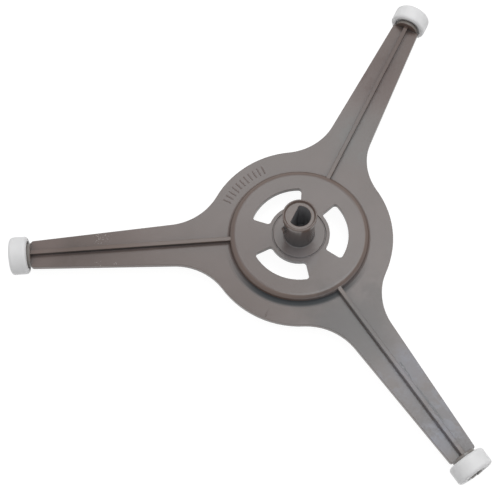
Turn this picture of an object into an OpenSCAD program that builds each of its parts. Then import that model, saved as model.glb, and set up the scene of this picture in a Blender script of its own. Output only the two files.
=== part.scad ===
/* [Overall] */
// Diameter of the circle through the outer faces of the three rollers
roller_circle_d = 215; // [205:1:230]
// Height of the plate's upper face above the surface the rollers stand on
standing_h = 7.75; // [7:0.25:9]
// Thickness of the plate and of its arms
plate_t = 2; // [1.6:0.1:2.4]

/* [Disc and arms] */
// Diameter of the disc in the middle
disc_d = 70; // [66:1:74]
// Radius of the sweep between the disc and an arm
sweep_r = 22; // [18:1:26]
// Width of an arm where the sweep ends
arm_root_w = 15.4; // [14:0.2:18]
// Distance of that place from the hub's axis
arm_root_at = 54; // [50:1:60]
// Width of an arm at its end
arm_tip_w = 10.4; // [10:0.1:12]
// Rounding of the corners at the end of an arm
arm_corner_r = 0.8; // [0.4:0.1:1.5]
// Thickness of the rib along an arm
rib_t = 1.5; // [1.2:0.1:2]
// Height of the rib above the plate
rib_h = 2; // [1.4:0.1:2.2]

/* [Raised centre] */
// Diameter of the flat top of the raised centre
raised_flat_d = 48.8; // [47:0.2:50]
// Height of the raised centre above the plate
raised_h = 2.4; // [2:0.1:2.6]
// Rounding of the raised centre's upper edge
raised_edge_r = 1.5; // [1:0.1:1.6]
// Inner radius of a window
window_inner_r = 11.4; // [11:0.1:12]
// Outer radius of a window
window_outer_r = 18.4; // [17.5:0.1:19]
// Angle that a window spans
window_angle = 75.4; // [60:0.2:84]
// Rounding of the windows' corners
window_corner_r = 1.25; // [0.8:0.05:1.6]
// Diameter of the ring groove round the hub
groove_d = 19.6; // [18:0.1:21]
// Width of the ring groove
groove_w = 0.55; // [0.3:0.05:0.6]
// Depth of the ring groove
groove_depth = 0.4; // [0.2:0.05:0.5]

/* [Drive tube] */
// Outer diameter of the tube
tube_d = 11.2; // [11:0.1:12]
// Height of the tube above the plate's upper face
tube_h = 19; // [16:0.5:22]
// Diameter of the bead round the mouth
bead_d = 12.6; // [12.6:0.1:14]
// Height of the bead
bead_h = 2.2; // [1.8:0.1:3]
// Diameter of the shallow recess at the mouth
mouth_d = 11.5; // [10.8:0.1:11.6]
// Depth of that recess
mouth_depth = 0.9; // [0.6:0.1:1.2]
// Diameter of the D-shaped socket
socket_d = 8.2; // [7.6:0.1:8.6]
// Rounding of the corners where its flat meets its round side
socket_corner_r = 0.6; // [0.3:0.1:0.9]
// Distance of the socket's flat from the axis
socket_flat_at = 2.05; // [1.6:0.05:3]
// Direction that the flat faces away from the axis
socket_flat_angle = 150; // [0:5:355]

/* [Rollers] */
// Diameter of a roller
roller_d = 14; // [13.6:0.1:14.4]
// Width of a roller
roller_w = 6.5; // [6:0.1:7]
// Rounding of a roller's edges
roller_edge_r = 1.2; // [0.6:0.1:1.5]
// Diameter of a roller's bore
roller_bore_d = 5; // [4.6:0.1:5.4]
// Diameter of the recess in a roller's inner face
roller_recess_d = 10.2; // [9.8:0.1:10.6]
// Depth of that recess
roller_recess_depth = 1.2; // [0.8:0.1:1.4]
// Diameter of the recess in a roller's outer face, round the pin's barbs
barb_recess_d = 8; // [7:0.1:9]
// Depth of that recess
barb_recess_depth = 0.85; // [0.6:0.05:1.2]
// Diameter of the shoulder at the end of an arm
shoulder_d = 9; // [8.6:0.1:9.4]
// Radial clearance between a pin and its roller
running_gap = 0.05; // [0.02:0.01:0.1]

/* [Hidden] */
$fn = 96;

// Directions of the three arms and of the three windows between them
ARM_ANGLES = [60, 180, 300];
WINDOW_ANGLES = [0, 120, 240];

// Small overlaps that keep touching surfaces from only grazing each other
graze = 0.01;
bury = 0.2;

disc_r = disc_d / 2;
raised_r = raised_flat_d / 2;
raised_wall_r = raised_r + raised_edge_r;
raised_foot_r = raised_h - raised_edge_r;

// Heights above the mouth of the tube
plate_top = -tube_h;
raised_top = plate_top + raised_h;
axle_z = plate_top - standing_h + roller_d / 2;

roller_outer_at = roller_circle_d / 2;
roller_inner_at = roller_outer_at - roller_w;
roller_lip_r = 0.4;
shoulder_t = 1.2;
shoulder_sunk = 0.2;
shoulder_face_at = roller_inner_at + shoulder_sunk;
arm_end_at = shoulder_face_at - shoulder_t;

pin_d = roller_bore_d - 2 * running_gap;
barb_d = 6;
barb_tip_d = 4.4;
barb_from = roller_outer_at - barb_recess_depth + running_gap;
barb_land = 0.3;
pin_proud = 0.45;
pin_end_at = roller_outer_at + pin_proud;
slot_w = 1.4;
slot_len = 6;

tube_floor_t = 1.6;
socket_floor = raised_top - plate_t + tube_floor_t;
lug_w = 1.5;
lug_reach = 6.8;
lug_z = [plate_top + 10.6, plate_top + 13];
lug_angle = 200;

TAUPE = [0.50, 0.47, 0.45];
WHITE = [0.90, 0.90, 0.89];

function dir(a) = [cos(a), sin(a)];
function along(a, d) = d * dir(a);

// Edge line of an arm, and the circle that sweeps from it into the disc
edge_dir = let (run = [arm_end_at - arm_root_at, (arm_tip_w - arm_root_w) / 2]) run / norm(run);
edge_out = [-edge_dir.y, edge_dir.x];
sweep_from = [arm_root_at, arm_root_w / 2] + edge_out * (sweep_r - graze);
sweep_reach = disc_r + sweep_r - graze;
sweep_b = sweep_from * edge_dir;
sweep_shift = sqrt(sweep_b * sweep_b - sweep_from * sweep_from + sweep_reach * sweep_reach) - sweep_b;
sweep_centre = sweep_from + edge_dir * sweep_shift;

// What lies between an arc and the corner that it rounds or fills: centre c, radius r,
// and the directions a and b from the centre to the two sides
module corner_web(c, r, a, b) {
    reach = 2 * r;
    difference() {
        polygon([c, c + reach * a, c + reach * (a + b), c + reach * b]);
        translate(c) circle(r = r + graze);
    }
}

module both_sides() {
    children();
    mirror([0, 1]) children();
}

// The web between the disc and one side of an arm
module sweep_2d() {
    difference() {
        polygon([
            [0, 0],
            sweep_centre - edge_out * sweep_r,
            sweep_centre,
            sweep_centre * disc_r / sweep_reach
        ]);
        translate(sweep_centre) circle(r = sweep_r);
    }
}

// One arm in plan, along +X, with round corners at its end
module arm_2d() {
    half = arm_tip_w / 2;
    corner = [arm_end_at - arm_corner_r, half - arm_corner_r];
    hub_half = half - (arm_end_at / edge_dir.x) * edge_dir.y;
    difference() {
        polygon([[0, -hub_half], [arm_end_at, -half], [arm_end_at, half], [0, hub_half]]);
        both_sides() corner_web(corner, arm_corner_r, [1, 0], edge_out);
    }
    both_sides() sweep_2d();
}

module plate() {
    translate([0, 0, plate_top - plate_t]) linear_extrude(plate_t) {
        circle(r = disc_r);
        for (a = ARM_ANGLES) rotate(a) arm_2d();
    }
}

// Raised centre with a round edge that runs out into the plate
module raised_centre() {
    edge = [raised_r, raised_top - raised_edge_r];
    foot = [raised_wall_r + raised_foot_r, plate_top + raised_foot_r];
    rotate_extrude() {
        difference() {
            translate([0, plate_top - plate_t]) square([raised_wall_r, plate_t + raised_h]);
            corner_web(edge, raised_edge_r, [1, 0], [0, 1]);
        }
        corner_web(foot, raised_foot_r, [-1, 0], [0, -1]);
    }
}

// Space under the raised centre, so that its wall is as thick as the plate
module underside_recess() {
    floor_z = plate_top - plate_t;
    translate([0, 0, floor_z - bury]) cylinder(r = raised_wall_r - plate_t, h = raised_h + bury);
}

module window_2d() {
    h = window_angle / 2;
    r = window_corner_r;
    far = 2 * window_outer_r;
    outer_turn = h - asin(r / (window_outer_r - r));
    inner_turn = h - asin(r / (window_inner_r + r));
    difference() {
        circle(r = window_outer_r);
        circle(r = window_inner_r);
        polygon([[0, 0], along(h, far), [-far, far], [-far, -far], along(-h, far)]);
        both_sides() {
            corner_web(along(outer_turn, window_outer_r - r), r, dir(outer_turn), dir(h + 90));
            corner_web(along(inner_turn, window_inner_r + r), r, -dir(inner_turn), dir(h + 90));
        }
    }
}

module windows() {
    for (a = WINDOW_ANGLES) {
        rotate(a) translate([0, 0, plate_top]) linear_extrude(2 * raised_h) window_2d();
    }
}

module ring_groove() {
    inner_r = (groove_d - groove_w) / 2;
    rotate_extrude() {
        translate([inner_r, raised_top - groove_depth]) square([groove_w, 2 * groove_depth]);
    }
}

// Tube with a rounded bead at its mouth and a small fillet at its foot
module tube() {
    bead_r = bead_d / 2;
    top_r = 0.4;
    low_r = 0.4;
    foot_r = 0.5;
    wall = tube_d / 2;
    translate([0, 0, raised_top - bury]) cylinder(d = tube_d, h = 2 * bury - bead_h - raised_top);
    rotate_extrude() {
        difference() {
            translate([0, -bead_h]) square([bead_r, bead_h]);
            corner_web([bead_r - top_r, -top_r], top_r, [1, 0], [0, 1]);
            corner_web([bead_r - low_r, low_r - bead_h], low_r, [1, 0], [0, -1]);
        }
        corner_web([wall + foot_r, raised_top + foot_r], foot_r, [-1, 0], [0, -1]);
    }
}

// Lug on the side of the tube
module lug() {
    from = tube_d / 2 - bury;
    rotate(lug_angle) translate([from, -lug_w / 2, lug_z[0]]) {
        cube([lug_reach - from, lug_w, lug_z[1] - lug_z[0]]);
    }
}

// Outline of the D-shaped socket, its flat facing +X
module socket_2d() {
    r = socket_corner_r;
    across = socket_flat_at - r;
    reach = socket_d / 2 - r;
    corner = [across, sqrt(reach * reach - across * across)];
    difference() {
        circle(d = socket_d);
        translate([socket_flat_at, -socket_d]) square(2 * socket_d);
        both_sides() corner_web(corner, r, [1, 0], corner / reach);
    }
}

// D-shaped socket and the shallow recess round it
module socket() {
    translate([0, 0, -mouth_depth]) {
        cylinder(d1 = mouth_d - 1, d2 = mouth_d + 2 * graze, h = mouth_depth + graze);
    }
    translate([0, 0, socket_floor]) linear_extrude(-socket_floor) {
        rotate(socket_flat_angle) socket_2d();
    }
}

// Rib on the centreline of an arm, from the raised centre to the shoulder
module rib() {
    from = raised_r + bury;
    rise = rib_h + plate_t / 2;
    translate([from, -rib_t / 2, plate_top - plate_t / 2]) cube([arm_end_at - from + bury, rib_t, rise]);
}

// Turn children drawn round +Z, so that they lie on the axle of an arm
module on_axle() {
    translate([0, 0, axle_z]) rotate([0, 90, 0]) children();
}

// Shoulder and split snap pin that hold a roller
module axle_end() {
    profile = [
        [0, arm_end_at - bury],
        [shoulder_d / 2, arm_end_at - bury],
        [shoulder_d / 2, shoulder_face_at],
        [pin_d / 2, shoulder_face_at],
        [pin_d / 2, barb_from],
        [barb_d / 2, barb_from],
        [barb_d / 2, barb_from + barb_land],
        [barb_tip_d / 2, pin_end_at],
        [0, pin_end_at]
    ];
    difference() {
        on_axle() rotate_extrude() polygon(profile);
        translate([pin_end_at - slot_len, -slot_w / 2, axle_z - barb_d]) {
            cube([2 * slot_len, slot_w, 2 * barb_d]);
        }
    }
}

// Everything that is moulded in one piece: plate, raised centre, tube, ribs and axles
module spider() {
    color(TAUPE) difference() {
        union() {
            plate();
            raised_centre();
            tube();
            lug();
            for (a = ARM_ANGLES) rotate(a) {
                rib();
                axle_end();
            }
        }
        underside_recess();
        windows();
        ring_groove();
        socket();
    }
}

// Roller with round edges and a bore, recessed for the shoulder and for the pin's barbs
module roller(angle) {
    r = roller_edge_r;
    tread = roller_d / 2;
    lip = [roller_recess_d / 2 + roller_lip_r, roller_inner_at + roller_lip_r];
    color(WHITE) rotate(angle) on_axle() rotate_extrude() difference() {
        translate([0, roller_inner_at]) square([tread, roller_w]);
        corner_web([tread - r, roller_inner_at + r], r, [1, 0], [0, -1]);
        corner_web([tread - r, roller_outer_at - r], r, [1, 0], [0, 1]);
        corner_web(lip, roller_lip_r, [-1, 0], [0, -1]);
        centred_cut(roller_bore_d, roller_inner_at - 1, roller_outer_at + 1);
        centred_cut(roller_recess_d, roller_inner_at - 1, roller_inner_at + roller_recess_depth);
        centred_cut(barb_recess_d, roller_outer_at - barb_recess_depth, roller_outer_at + 1);
    }
}

// Profile of a round cut of diameter d between two distances along the axle
module centred_cut(d, from, to) {
    translate([-1, from]) square([1 + d / 2, to - from]);
}

spider();
roller(ARM_ANGLES[0]);  // roller_1
roller(ARM_ANGLES[1]);  // roller_2
roller(ARM_ANGLES[2]);  // roller_3
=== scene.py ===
import math

import bmesh
import bpy
from mathutils import Matrix, Vector


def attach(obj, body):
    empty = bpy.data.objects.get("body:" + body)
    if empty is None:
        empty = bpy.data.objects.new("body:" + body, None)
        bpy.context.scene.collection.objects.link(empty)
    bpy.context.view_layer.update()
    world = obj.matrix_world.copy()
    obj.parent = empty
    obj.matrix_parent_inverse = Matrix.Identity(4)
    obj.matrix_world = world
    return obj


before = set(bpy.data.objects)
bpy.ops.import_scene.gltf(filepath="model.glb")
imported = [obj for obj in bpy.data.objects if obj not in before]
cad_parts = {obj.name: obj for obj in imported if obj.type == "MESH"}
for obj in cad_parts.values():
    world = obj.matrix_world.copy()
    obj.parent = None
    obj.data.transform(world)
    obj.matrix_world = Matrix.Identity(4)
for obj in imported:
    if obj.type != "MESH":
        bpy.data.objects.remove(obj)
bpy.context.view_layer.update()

ROLLERS = ("roller_1", "roller_2", "roller_3")

# Heights on the ring, in metres from the mouth of its tube
PLATE_TOP = -0.019
RAISED_TOP = -0.0166
BENCH_TOP = -0.02675

# Bands between two such heights
TOP_SIDE = (-0.0194, 0.001)
PLATE_LEVEL = (-0.0194, -0.0185)
RAISED_EDGES_AND_RIBS = (-0.0187, -0.0160)
RIB_SIDES = (-0.0188, -0.01705)
RIB_TOPS = (-0.01705, -0.0168)
TUBE_WALL = (-0.0165, -0.0024)
TUBE_SHADE = (-0.0024, -0.013)
BEAD = (-0.0023, -0.00002)
SOCKET_DEPTH = (-0.0172, -0.00095)

# Distances from the tube's axis, in metres
SOCKET_RADIUS = 0.0043
TUBE_RADIUS = 0.0064
RAISED_FLAT_RADIUS = 0.0243
SOFT_RIM = (0.0236, 0.0256)
FOOT_BAND = (0.0272, 0.0288)
SHOULDERS_FROM = 0.10002

# The photograph's frame and its solved camera, angles in degrees
PHOTO_WIDTH = 500
SENSOR_WIDTH = 36.0
FOCAL_PIXELS = 1221.33
NEAR_CLIP = 0.01
CAMERA_AZIMUTH = -0.9255
CAMERA_ELEVATION = 67.45
CAMERA_ROLL = -3.0638
CAMERA_DISTANCE = 0.4535767
CAMERA_TARGET = Vector((-0.0185701, -0.0041182, PLATE_TOP))

# Tones of the taupe moulding, with painted shade and painted light among them
TAUPE_DEEP = (0.145, 0.108, 0.096, 1)
TAUPE_PALE = (0.160, 0.119, 0.106, 1)
TAUPE_EDGE = (0.18, 0.128, 0.105, 1)
WARM_RAISED_EDGE = (0.152, 0.098, 0.074, 1)
WARM_BEAD = (0.160, 0.108, 0.083, 1)
# painted shade: darker colour in the corners and creases
PAINTED_CORNER_SHADE = (0.068, 0.065, 0.067, 1)
# painted shade: the tube's wall darkens towards its foot
SHADED_TUBE = (0.098, 0.096, 0.100, 1)
# painted light: lighter, greyer walls inside the deep socket
SOCKET_PAINTED_LIGHT = (0.33, 0.325, 0.335, 1)
# painted light: lighter, greyer shoulders at the ends of the arms
SHOULDER_PAINTED_LIGHT = (0.25, 0.235, 0.218, 1)
# painted shadow and reflection at the foot of the raised centre, with some dirt
FOOT_SHADOW_AND_DIRT = (0.016, 0.016, 0.019, 1)
DUST_SPECK = (0.50, 0.46, 0.42, 1)
DARK_RUB = (0.05, 0.046, 0.046, 1)
# painted light on the lower right rib's sides, painted shade on the left rib's sides
# and on the upper rib's top
PAINTED_LIT_RIB_SIDE = (0.34, 0.335, 0.35, 1)
PAINTED_SHADED_RIB_SIDE = (0.045, 0.040, 0.042, 1)
PAINTED_SHADE_RIB_TOP = (0.108, 0.072, 0.062, 1)

# Tones of its wear, and of painted sheen, painted light and painted shade
PALE_WEAR_AND_SHEEN = (0.190, 0.176, 0.200, 1)
BLUISH_PAINTED_SHEEN = (0.190, 0.190, 0.235, 1)
COOL_PAINTED_SHEEN = (0.150, 0.126, 0.130, 1)
DARK_PATCH = (0.104, 0.077, 0.068, 1)
DEEP_PATCH = (0.092, 0.072, 0.066, 1)
WARM_WEAR = (0.108, 0.062, 0.052, 1)
GREY_WEAR = (0.158, 0.150, 0.142, 1)
LIGHT_WEAR = (0.190, 0.142, 0.128, 1)
LEFT_PAINTED_SHADE = (0.125, 0.088, 0.078, 1)
PAINTED_LIGHT_BY_TUBE = (0.240, 0.227, 0.232, 1)

# Tones of the white rollers
ROLLER_WHITE_LOW = (0.80, 0.80, 0.805, 1)
ROLLER_WHITE_HIGH = (0.83, 0.83, 0.835, 1)
ROLLER_EDGE = (0.84, 0.84, 0.84, 1)

# Raised strokes on the disc, in metres and degrees
STROKE_WIDTH = 0.0005
STROKE_RISE = 0.00015
STROKE_COUNT = 11
STROKES_FROM = 112
STROKE_STEP = 3.6
STROKES_BETWEEN = (0.0288, 0.0322)
SHORT_MARK_AT = -115.5
SHORT_MARK_BETWEEN = (0.0318, 0.0342)

# Lamps of the studio: name, place, size and power
STUDIO_LAMPS = [
    ("top_softbox", (0.119, 0.168, 1.264), 0.367, 1.503),
    ("far_softbox", (0.004, 0.444, 0.773), 0.269, 0.631),
    ("right_softbox", (0.311, 0.266, 0.773), 0.394, 1.29),
]

# How strongly the walls and the ceiling light the ring, and how they look
WALL_LIGHT = 0.10
CEILING_LIGHT = 0.85
SEEN_WALL = 1.0

# The white bench top: what lights the ring from it, and how it looks
BENCH_REACH = 3.0
BENCH_BOUNCE = (0.88, 0.88, 0.88, 1)
BENCH_SEEN = (0.16, 0.16, 0.16, 1)
BENCH_GLOW = 0.94


def arm_directions(degrees):
    turn = math.radians(degrees)
    ahead = Vector((math.cos(turn), math.sin(turn), 0))
    left = Vector((-math.sin(turn), math.cos(turn), 0))
    return ahead, left


def on_arm(degrees, along, across):
    ahead, left = arm_directions(degrees)
    place = ahead * along + left * across
    place.z = PLATE_TOP
    return place


def rub(degrees, along, across, length, width, lean=0.0):
    ahead, left = arm_directions(degrees + lean)
    return on_arm(degrees, along, across), ahead, left, length, width


# Pale specks on the left arm: centre, reach, speck scale and amount
ARM_SPECKS = [
    (on_arm(180, 0.0735, -0.0050), 0.0060, 1600.0, 0.38),
    (on_arm(180, 0.0750, 0.0060), 0.0028, 1500.0, 0.36),
    (on_arm(180, 0.0690, 0.0062), 0.0024, 1500.0, 0.34),
]

# Dark rubs beside the rib of the lower right arm
ARM_RUBS = [
    rub(300, 0.070, 0.0014, 0.018, 0.00045, lean=1.0),
    rub(300, 0.060, 0.0022, 0.009, 0.00030, lean=-4.0),
]

# Patches of wear and of painted sheen, light and shade: centre, reach, patch scale,
# evenness, share and tone
WEAR_AND_PAINTED_PATCHES = [
    # painted bluish sheen over the lower right arm
    (on_arm(300, 0.082, 0.0), 0.034, 60.0, 0.0, 0.8, COOL_PAINTED_SHEEN),
    # pale wear that is partly painted sheen
    (on_arm(300, 0.084, 0.0030), 0.016, 260.0, 0.0, 0.75, PALE_WEAR_AND_SHEEN),
    (on_arm(300, 0.064, -0.0030), 0.020, 180.0, 0.0, 0.5, PALE_WEAR_AND_SHEEN),
    # painted bluish sheen near the tip
    (on_arm(300, 0.0915, -0.0030), 0.008, 200.0, 0.6, 0.7, BLUISH_PAINTED_SHEEN),
    (on_arm(300, 0.0955, 0.0015), 0.0055, 700.0, 0.0, 0.6, DARK_PATCH),
    (on_arm(300, 0.084, -0.0032), 0.008, 500.0, 0.0, 0.5, DARK_PATCH),
    (on_arm(300, 0.036, -0.0060), 0.026, 60.0, 0.0, 0.75, DARK_PATCH),
    (on_arm(300, 0.043, -0.0060), 0.020, 90.0, 0.9, 0.85, DEEP_PATCH),
    (on_arm(300, 0.040, 0.0070), 0.022, 60.0, 0.0, 0.70, DARK_PATCH),
    (on_arm(300, 0.0295, -0.0050), 0.012, 120.0, 0.0, 0.75, DARK_PATCH),
    (on_arm(300, 0.0340, 0.0050), 0.012, 120.0, 0.0, 0.6, DARK_PATCH),
    (on_arm(300, 0.037, -0.0085), 0.012, 60.0, 1.0, 0.55, DEEP_PATCH),
    (on_arm(300, 0.077, -0.0040), 0.010, 200.0, 0.6, 0.4, DARK_PATCH),
    (on_arm(300, 0.0640, 0.0042), 0.010, 200.0, 0.7, 0.5, BLUISH_PAINTED_SHEEN),
    (on_arm(60, 0.0475, -0.0055), 0.018, 130.0, 0.6, 0.6, GREY_WEAR),
    (on_arm(60, 0.0735, 0.0045), 0.0180, 130.0, 0.65, 0.85, WARM_WEAR),
    (on_arm(180, 0.0840, 0.0040), 0.014, 130.0, 0.6, 0.45, DARK_PATCH),
    (on_arm(180, 0.0540, -0.0040), 0.014, 130.0, 0.6, 0.5, LIGHT_WEAR),
    (on_arm(180, 0.0950, -0.0030), 0.011, 130.0, 0.8, 0.6, LIGHT_WEAR),
    # painted shade on the left of the raised centre
    (Vector((-0.0210, 0.0005, RAISED_TOP)), 0.012, 130.0, 0.6, 0.55, LEFT_PAINTED_SHADE),
    # painted light in front of the tube, where its shadow and reflection fall
    (Vector((-0.0014, -0.0086, -0.0187)), 0.0092, 90.0, 1.0, 0.65, PAINTED_LIGHT_BY_TUBE),
]

# Painted light and shade on the ribs: centre, reach, band of heights, share and tone
RIB_LIGHT_AND_SHADE = [
    (on_arm(300, 0.066, 0.0), 0.055, RIB_SIDES, 0.9, PAINTED_LIT_RIB_SIDE),
    (on_arm(180, 0.066, 0.0), 0.055, RIB_SIDES, 0.8, PAINTED_SHADED_RIB_SIDE),
    (on_arm(60, 0.070, 0.0), 0.070, RIB_TOPS, 0.65, PAINTED_SHADE_RIB_TOP),
]

# Side of the raised centre where a shadow and reflection, with some dirt, are
# painted at its foot
SHADOWED_SIDE = (-0.004, -0.0265, PLATE_TOP)
SHADOWED_REACH = 0.036


def aim_camera():
    azimuth, elevation, roll = (
        math.radians(a) for a in (CAMERA_AZIMUTH, CAMERA_ELEVATION, CAMERA_ROLL)
    )
    back = Vector((
        math.sin(azimuth) * math.cos(elevation),
        -math.cos(azimuth) * math.cos(elevation),
        math.sin(elevation),
    ))
    level = (-back).cross(Vector((0, 0, 1))).normalized()
    upright = level.cross(-back)
    right = level * math.cos(roll) + upright * math.sin(roll)
    up = upright * math.cos(roll) - level * math.sin(roll)
    place = CAMERA_TARGET + back * CAMERA_DISTANCE
    lens = bpy.data.cameras.new("bench_camera")
    lens.sensor_fit = "HORIZONTAL"
    lens.sensor_width = SENSOR_WIDTH
    lens.lens = FOCAL_PIXELS * SENSOR_WIDTH / PHOTO_WIDTH
    lens.clip_start = NEAR_CLIP
    camera = bpy.data.objects.new("bench_camera", lens)
    camera.matrix_world = Matrix((
        (right.x, up.x, back.x, place.x),
        (right.y, up.y, back.y, place.y),
        (right.z, up.z, back.z, place.z),
        (0, 0, 0, 1),
    ))
    bpy.context.scene.collection.objects.link(camera)
    bpy.context.scene.camera = camera


# Node helpers
def feed(tree, node, feeds):
    for name, value in feeds.items():
        if isinstance(value, bpy.types.NodeSocket):
            tree.links.new(value, node.inputs[name])
        else:
            node.inputs[name].default_value = value


def put(tree, kind, feeds=None, **settings):
    node = tree.nodes.new(kind)
    for name, value in settings.items():
        setattr(node, name, value)
    feed(tree, node, feeds or {})
    return node


def combine(tree, operation, a, b):
    return put(tree, "ShaderNodeMath", {0: a, 1: b}, operation=operation).outputs[0]


def times(tree, a, b):
    return combine(tree, "MULTIPLY", a, b)


def vectors(tree, operation, a, b, result="Value"):
    node = put(tree, "ShaderNodeVectorMath", {0: a, 1: b}, operation=operation)
    return node.outputs[result]


def spread(tree, value, low, high, to_low=0.0, to_high=1.0, smooth=False):
    feeds = {
        "Value": value, "From Min": low, "From Max": high,
        "To Min": to_low, "To Max": to_high,
    }
    kind = "SMOOTHSTEP" if smooth else "LINEAR"
    node = put(tree, "ShaderNodeMapRange", feeds, interpolation_type=kind)
    return node.outputs["Result"]


def tint(tree, mask, below, above):
    mix = put(
        tree, "ShaderNodeMix", {0: mask, 6: below, 7: above}, data_type="RGBA"
    )
    return mix.outputs[2]


def tone(tree, colour, mask, share, shade):
    return tint(tree, times(tree, mask, share), colour, shade)


def height_of(tree, position):
    return put(tree, "ShaderNodeSeparateXYZ", {0: position}).outputs["Z"]


def distance_from_axis(tree, position):
    flat = vectors(tree, "MULTIPLY", position, (1, 1, 0), result="Vector")
    length = put(tree, "ShaderNodeVectorMath", {0: flat}, operation="LENGTH")
    return length.outputs["Value"]


def nearness(tree, position, centre, reach, full_share):
    away = vectors(tree, "DISTANCE", position, centre)
    share = combine(tree, "DIVIDE", away, reach)
    return spread(tree, share, 1.0, full_share, smooth=True)


def start_group(name, inputs, outputs):
    group = bpy.data.node_groups.new(name, "ShaderNodeTree")
    for label, kind in inputs:
        group.interface.new_socket(name=label, in_out="INPUT", socket_type=kind)
    for label, kind in outputs:
        group.interface.new_socket(name=label, in_out="OUTPUT", socket_type=kind)
    source = group.nodes.new("NodeGroupInput").outputs
    sink = group.nodes.new("NodeGroupOutput").inputs
    return group, source, sink


FLOAT, VECTOR = "NodeSocketFloat", "NodeSocketVector"


def make_soft_edges():
    group, given, sink = start_group(
        "soft_edges", [("Radius", FLOAT)], [("Normal", VECTOR), ("Edge", FLOAT)]
    )
    rounded = put(
        group, "ShaderNodeBevel", {"Radius": given["Radius"]}, samples=6
    ).outputs["Normal"]
    flat = put(group, "ShaderNodeNewGeometry").outputs["Normal"]
    along = vectors(group, "DOT_PRODUCT", rounded, flat)
    group.links.new(rounded, sink["Normal"])
    group.links.new(spread(group, along, 0.995, 0.85), sink["Edge"])
    return group


def make_moulded_grain():
    group, given, sink = start_group(
        "moulded_grain",
        [("Position", VECTOR), ("Cloud Scale", FLOAT), ("Grain Scale", FLOAT)],
        [("Cloud", FLOAT), ("Grain", FLOAT)],
    )
    cloud = put(group, "ShaderNodeTexNoise", {
        "Vector": given["Position"], "Scale": given["Cloud Scale"],
        "Detail": 4.0, "Roughness": 0.55,
    }).outputs["Fac"]
    grain = put(group, "ShaderNodeTexNoise", {
        "Vector": given["Position"], "Scale": given["Grain Scale"],
        "Detail": 2.0, "Roughness": 0.6,
    }).outputs["Fac"]
    group.links.new(spread(group, cloud, 0.3, 0.7, smooth=True), sink["Cloud"])
    group.links.new(spread(group, grain, 0.3, 0.7), sink["Grain"])
    return group


def make_dust_specks():
    group, given, sink = start_group(
        "dust_specks",
        [("Position", VECTOR), ("Centre", VECTOR), ("Reach", FLOAT),
         ("Speck Scale", FLOAT), ("Amount", FLOAT)],
        [("Mask", FLOAT)],
    )
    near = nearness(group, given["Position"], given["Centre"], given["Reach"], 0.2)
    dots = put(group, "ShaderNodeTexVoronoi", {
        "Vector": given["Position"], "Scale": given["Speck Scale"],
        "Randomness": 1.0,
    }).outputs["Distance"]
    room = times(group, near, given["Amount"])
    inside = combine(group, "SUBTRACT", room, dots)
    group.links.new(spread(group, inside, 0.0, 0.12), sink["Mask"])
    return group


def make_rub_line():
    group, given, sink = start_group(
        "rub_line",
        [("Position", VECTOR), ("Start", VECTOR), ("Along", VECTOR),
         ("Across", VECTOR), ("Length", FLOAT), ("Width", FLOAT),
         ("Sway", FLOAT), ("Sway Scale", FLOAT)],
        [("Mask", FLOAT)],
    )
    offset = vectors(
        group, "SUBTRACT", given["Position"], given["Start"], result="Vector"
    )
    run = vectors(group, "DOT_PRODUCT", offset, given["Along"])
    side = vectors(group, "DOT_PRODUCT", offset, given["Across"])
    wander = put(group, "ShaderNodeTexNoise", {
        "Vector": given["Position"], "Scale": given["Sway Scale"], "Detail": 2.0,
    }).outputs["Fac"]
    sway = times(group, combine(group, "SUBTRACT", wander, 0.5), given["Sway"])
    off = combine(group, "ADD", side, sway)
    off = put(group, "ShaderNodeMath", {0: off}, operation="ABSOLUTE").outputs[0]
    thin = spread(group, combine(group, "DIVIDE", off, given["Width"]), 1.0, 0.3)
    share = combine(group, "DIVIDE", run, given["Length"])
    begun = spread(group, share, 0.0, 0.12, smooth=True)
    ended = spread(group, share, 1.0, 0.8, smooth=True)
    broken = spread(group, wander, 0.28, 0.48)
    line = times(group, times(group, thin, begun), ended)
    group.links.new(times(group, line, broken), sink["Mask"])
    return group


def make_fade_outward():
    group, given, sink = start_group(
        "fade_outward", [("Position", VECTOR), ("From", FLOAT), ("To", FLOAT)],
        [("Mask", FLOAT)],
    )
    away = distance_from_axis(group, given["Position"])
    fade = spread(group, away, given["From"], given["To"], 1.0, 0.0, smooth=True)
    group.links.new(fade, sink["Mask"])
    return group


def make_inside_round():
    group, given, sink = start_group(
        "inside_round", [("Position", VECTOR), ("Radius", FLOAT)],
        [("Mask", FLOAT)],
    )
    away = distance_from_axis(group, given["Position"])
    inside = combine(group, "LESS_THAN", away, given["Radius"])
    group.links.new(inside, sink["Mask"])
    return group


def make_height_band():
    group, given, sink = start_group(
        "height_band", [("Position", VECTOR), ("From", FLOAT), ("To", FLOAT)],
        [("Mask", FLOAT)],
    )
    height = height_of(group, given["Position"])
    above = combine(group, "GREATER_THAN", height, given["From"])
    below = combine(group, "LESS_THAN", height, given["To"])
    group.links.new(times(group, above, below), sink["Mask"])
    return group


# Painted shade: a mask of the corners and creases that little open sky reaches
def make_painted_corner_shade():
    group, given, sink = start_group(
        "painted_corner_shade", [("Reach", FLOAT)], [("Mask", FLOAT)]
    )
    open_sky = put(
        group, "ShaderNodeAmbientOcclusion", {"Distance": given["Reach"]},
        samples=8, only_local=True,
    ).outputs["AO"]
    group.links.new(spread(group, open_sky, 0.7, 0.25), sink["Mask"])
    return group


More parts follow.
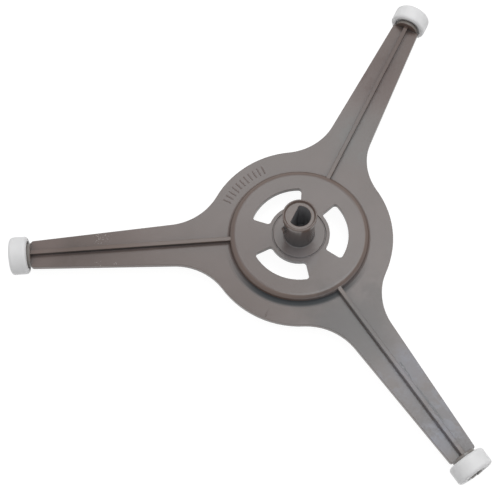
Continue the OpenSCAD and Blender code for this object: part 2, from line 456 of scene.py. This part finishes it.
def make_cloudy_patch():
    group, given, sink = start_group(
        "cloudy_patch",
        [("Position", VECTOR), ("Centre", VECTOR), ("Reach", FLOAT),
         ("Patch Scale", FLOAT), ("Evenness", FLOAT)],
        [("Mask", FLOAT)],
    )
    near = nearness(group, given["Position"], given["Centre"], given["Reach"], 0.3)
    patches = put(group, "ShaderNodeTexNoise", {
        "Vector": given["Position"], "Scale": given["Patch Scale"],
        "Detail": 3.0, "Roughness": 0.6,
    }).outputs["Fac"]
    patchy = spread(group, patches, 0.42, 0.62, smooth=True)
    patchy = combine(group, "MAXIMUM", patchy, given["Evenness"])
    group.links.new(times(group, near, patchy), sink["Mask"])
    return group


# Surface effects of the two plastics
soft_edges = make_soft_edges()
moulded_grain = make_moulded_grain()
dust_specks = make_dust_specks()
rub_line = make_rub_line()
fade_outward = make_fade_outward()
inside_round = make_inside_round()
height_band = make_height_band()
painted_corner_shade = make_painted_corner_shade()
cloudy_patch = make_cloudy_patch()


def start_material(name):
    material = bpy.data.materials.new(name)
    material.use_nodes = True
    tree = material.node_tree
    tree.nodes.clear()
    output = tree.nodes.new("ShaderNodeOutputMaterial")
    position = put(tree, "ShaderNodeTexCoord").outputs["Object"]
    return material, tree, output, position


def use_group(tree, group, feeds):
    node = tree.nodes.new("ShaderNodeGroup")
    node.node_tree = group
    feed(tree, node, feeds)
    return node.outputs


def band(tree, position, heights):
    return use_group(tree, height_band, {
        "Position": position, "From": heights[0], "To": heights[1],
    })["Mask"]


def within(tree, position, radius):
    return use_group(tree, inside_round, {
        "Position": position, "Radius": radius,
    })["Mask"]


def beyond(tree, position, radius):
    return combine(tree, "SUBTRACT", 1.0, within(tree, position, radius))


def fading(tree, position, radii):
    return use_group(tree, fade_outward, {
        "Position": position, "From": radii[0], "To": radii[1],
    })["Mask"]


def patch(tree, position, centre, reach, scale=60.0, evenness=1.0):
    return use_group(tree, cloudy_patch, {
        "Position": position, "Centre": centre, "Reach": reach,
        "Patch Scale": scale, "Evenness": evenness,
    })["Mask"]


def moulded_tones(tree, position, cloud, edge):
    colour = tint(tree, cloud, TAUPE_DEEP, TAUPE_PALE)
    colour = tone(tree, colour, edge, 0.35, TAUPE_EDGE)
    raised = band(tree, position, RAISED_EDGES_AND_RIBS)
    raised = times(tree, raised, beyond(tree, position, RAISED_FLAT_RADIUS))
    colour = tone(tree, colour, raised, 0.5, WARM_RAISED_EDGE)
    colour = tone(tree, colour, band(tree, position, BEAD), 0.35, WARM_BEAD)
    # painted shade in the corners and creases
    corners = use_group(tree, painted_corner_shade, {"Reach": 0.004})["Mask"]
    return tone(tree, colour, corners, 0.6, PAINTED_CORNER_SHADE)


def wear_and_painted_tones(tree, position, top_side, colour):
    # patches of wear, painted sheen, painted light and painted shade
    for centre, reach, scale, evenness, share, shade in WEAR_AND_PAINTED_PATCHES:
        patch_mask = patch(tree, position, centre, reach, scale, evenness)
        patched_top = times(tree, patch_mask, top_side)
        colour = tone(tree, colour, patched_top, share, shade)
    return colour


def tube_tones(tree, position, colour):
    wall = times(
        tree, within(tree, position, TUBE_RADIUS), band(tree, position, TUBE_WALL)
    )
    # painted shade: the tube's wall gets darker towards its foot
    upper, lower = TUBE_SHADE
    shade = spread(tree, height_of(tree, position), upper, lower, 0.3, 0.8)
    colour = tone(tree, colour, wall, shade, SHADED_TUBE)
    # painted light: the socket's walls are lighter and greyer, as if lit from above
    socket = times(
        tree, within(tree, position, SOCKET_RADIUS),
        band(tree, position, SOCKET_DEPTH),
    )
    return tint(tree, socket, colour, SOCKET_PAINTED_LIGHT)


def painted_rib_and_shoulder_light(tree, position, colour):
    # painted light and painted shade on the ribs
    for centre, reach, heights, share, shade in RIB_LIGHT_AND_SHADE:
        along_rib = patch(tree, position, centre, reach)
        toned = times(tree, along_rib, band(tree, position, heights))
        colour = tone(tree, colour, toned, share, shade)
    # painted light on the shoulders at the ends of the arms
    shoulders = beyond(tree, position, SHOULDERS_FROM)
    return tone(tree, colour, shoulders, 0.75, SHOULDER_PAINTED_LIGHT)


# painted shadow and reflection at the foot of the raised centre on one side, with
# some dirt
def foot_shadow_and_dirt(tree, position):
    foot = fading(tree, position, FOOT_BAND)
    shadow_and_dirt = times(tree, foot, band(tree, position, PLATE_LEVEL))
    return times(tree, shadow_and_dirt, patch(tree, position, SHADOWED_SIDE, SHADOWED_REACH))


def speck_and_rub_tones(tree, position, top_side, colour):
    for centre, reach, scale, amount in ARM_SPECKS:
        specks = use_group(tree, dust_specks, {
            "Position": position, "Centre": centre, "Reach": reach,
            "Speck Scale": scale, "Amount": amount,
        })["Mask"]
        dusty = times(tree, specks, top_side)
        colour = tone(tree, colour, dusty, 0.45, DUST_SPECK)
    for start, along, across, length, width in ARM_RUBS:
        line = use_group(tree, rub_line, {
            "Position": position, "Start": start, "Along": along,
            "Across": across, "Length": length, "Width": width,
            "Sway": 0.0012, "Sway Scale": 700.0,
        })["Mask"]
        rubbed = times(tree, line, top_side)
        colour = tone(tree, colour, rubbed, 0.8, DARK_RUB)
    return colour


def make_taupe_plastic():
    material, tree, output, position = start_material("taupe_moulded_plastic")
    edge = use_group(tree, soft_edges, {"Radius": 0.0003})
    grain = use_group(tree, moulded_grain, {
        "Position": position, "Cloud Scale": 45.0, "Grain Scale": 2200.0,
    })
    top_side = band(tree, position, TOP_SIDE)
    shadow_and_dirt = foot_shadow_and_dirt(tree, position)
    colour = moulded_tones(tree, position, grain["Cloud"], edge["Edge"])
    colour = wear_and_painted_tones(tree, position, top_side, colour)
    colour = tube_tones(tree, position, colour)
    colour = painted_rib_and_shoulder_light(tree, position, colour)
    # painted shadow and reflection at the foot of the raised centre, with some dirt
    colour = tint(tree, shadow_and_dirt, colour, FOOT_SHADOW_AND_DIRT)
    colour = speck_and_rub_tones(tree, position, top_side, colour)
    roughness = combine(
        tree, "ADD", spread(tree, grain["Grain"], 0.0, 1.0, 0.19, 0.23),
        times(tree, shadow_and_dirt, 0.35),
    )
    soft_rim = put(tree, "ShaderNodeBump", {
        "Strength": 1.0, "Distance": 0.00021,
        "Height": fading(tree, position, SOFT_RIM), "Normal": edge["Normal"],
    }).outputs["Normal"]
    grained = put(tree, "ShaderNodeBump", {
        "Strength": 0.10, "Distance": 0.00003,
        "Height": grain["Grain"], "Normal": soft_rim,
    }).outputs["Normal"]
    plastic = put(tree, "ShaderNodeBsdfPrincipled", {
        "Base Color": colour,
        "Roughness": roughness,
        "Normal": grained,
        "IOR": 1.505,
        "Specular Tint": (0.879, 0.971, 1.0, 1.0),
    })
    tree.links.new(plastic.outputs[0], output.inputs["Surface"])
    return material


def make_white_plastic():
    material, tree, output, position = start_material("white_roller_plastic")
    edge = use_group(tree, soft_edges, {"Radius": 0.0002})
    grain = use_group(tree, moulded_grain, {
        "Position": position, "Cloud Scale": 180.0, "Grain Scale": 3000.0,
    })
    colour = tint(tree, grain["Cloud"], ROLLER_WHITE_LOW, ROLLER_WHITE_HIGH)
    colour = tone(tree, colour, edge["Edge"], 0.3, ROLLER_EDGE)
    grained = put(tree, "ShaderNodeBump", {
        "Strength": 0.2, "Distance": 0.00003,
        "Height": grain["Grain"], "Normal": edge["Normal"],
    }).outputs["Normal"]
    plastic = put(tree, "ShaderNodeBsdfPrincipled", {
        "Base Color": colour,
        "Roughness": spread(tree, grain["Grain"], 0.0, 1.0, 0.46, 0.54),
        "Normal": grained,
        "IOR": 1.42,
        "Subsurface Weight": 0.5,
        "Subsurface Radius": (0.003, 0.003, 0.003),
    })
    tree.links.new(plastic.outputs[0], output.inputs["Surface"])
    return material


# One rounded stroke from an inner to an outer distance along a direction of the disc
def add_stroke(bm, degrees, inner, outer):
    made = bmesh.ops.create_uvsphere(bm, u_segments=20, v_segments=10, radius=1.0)
    ahead, left = arm_directions(degrees)
    half_width = STROKE_WIDTH / 2
    straight = (outer - inner) / 2 - half_width
    for vert in made["verts"]:
        x, y, z = vert.co
        shift = straight if x > 1e-6 else (-straight if x < -1e-6 else 0.0)
        run = (inner + outer) / 2 + x * half_width + shift
        vert.co = ahead * run + left * (y * half_width)
        vert.co.z = PLATE_TOP + math.copysign(abs(z) ** 0.6, z) * STROKE_RISE


def make_strokes(name, directions, between, material):
    mesh = bpy.data.meshes.new(name)
    bm = bmesh.new()
    for degrees in directions:
        add_stroke(bm, degrees, *between)
    for face in bm.faces:
        face.smooth = True
    bm.to_mesh(mesh)
    bm.free()
    mesh.materials.append(material)
    piece = bpy.data.objects.new(name, mesh)
    bpy.context.scene.collection.objects.link(piece)
    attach(piece, "spider")


def set_softbox(name, place, size, power):
    lamp = bpy.data.lights.new(name, "AREA")
    lamp.shape = "SQUARE"
    lamp.size = size
    lamp.energy = power
    box = bpy.data.objects.new(name, lamp)
    box.location = place
    box.rotation_euler = (-Vector(place)).to_track_quat("-Z", "Y").to_euler()
    bpy.context.scene.collection.objects.link(box)


def seen_rays(tree):
    path = put(tree, "ShaderNodeLightPath").outputs
    seen = combine(
        tree, "MAXIMUM", path["Is Camera Ray"], path["Is Transmission Ray"]
    )
    return combine(tree, "MAXIMUM", seen, path["Is Glossy Ray"])


def light_the_bench():
    for name, place, size, power in STUDIO_LAMPS:
        set_softbox(name, place, size, power)
    world = bpy.data.worlds.new("studio_walls")
    bpy.context.scene.world = world
    world.use_nodes = True
    tree = world.node_tree
    tree.nodes.clear()
    toward = put(tree, "ShaderNodeTexCoord").outputs["Generated"]
    upward = height_of(tree, toward)
    room_light = spread(tree, upward, 0.0, 1.0, WALL_LIGHT, CEILING_LIGHT)
    strength = spread(tree, seen_rays(tree), 0.0, 1.0, room_light, SEEN_WALL)
    walls = put(tree, "ShaderNodeBackground", {
        "Color": (1, 1, 1, 1), "Strength": strength,
    })
    out = tree.nodes.new("ShaderNodeOutputWorld")
    tree.links.new(walls.outputs[0], out.inputs["Surface"])


def lay_bench_top():
    mesh = bpy.data.meshes.new("bench_top")
    corners = [(-1, -1), (1, -1), (1, 1), (-1, 1)]
    mesh.from_pydata(
        [(x * BENCH_REACH, y * BENCH_REACH, BENCH_TOP) for x, y in corners],
        [], [(0, 1, 2, 3)],
    )
    material, tree, output, _ = start_material("white_bench_top")
    seen = seen_rays(tree)
    paper = put(tree, "ShaderNodeBsdfDiffuse", {
        "Color": tint(tree, seen, BENCH_BOUNCE, BENCH_SEEN),
    })
    glow = put(tree, "ShaderNodeEmission", {
        "Color": (1, 1, 1, 1),
        "Strength": spread(tree, seen, 0.0, 1.0, 0.0, BENCH_GLOW),
    })
    both = put(tree, "ShaderNodeAddShader", {
        0: paper.outputs[0], 1: glow.outputs[0],
    })
    tree.links.new(both.outputs[0], output.inputs["Surface"])
    mesh.materials.append(material)
    bench = bpy.data.objects.new("bench_top", mesh)
    bpy.context.scene.collection.objects.link(bench)


def dress(node, material):
    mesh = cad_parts[node].data
    mesh.materials.clear()
    mesh.materials.append(material)


aim_camera()
taupe_plastic = make_taupe_plastic()
white_plastic = make_white_plastic()
dress("spider", taupe_plastic)
for roller in ROLLERS:
    dress(roller, white_plastic)
make_strokes(
    "plain_strokes",
    [STROKES_FROM + STROKE_STEP * i for i in range(STROKE_COUNT)],
    STROKES_BETWEEN, taupe_plastic,
)
make_strokes("short_mark", [SHORT_MARK_AT], SHORT_MARK_BETWEEN, taupe_plastic)
lay_bench_top()
light_the_bench()
bpy.context.scene.view_settings.view_transform = "Standard"
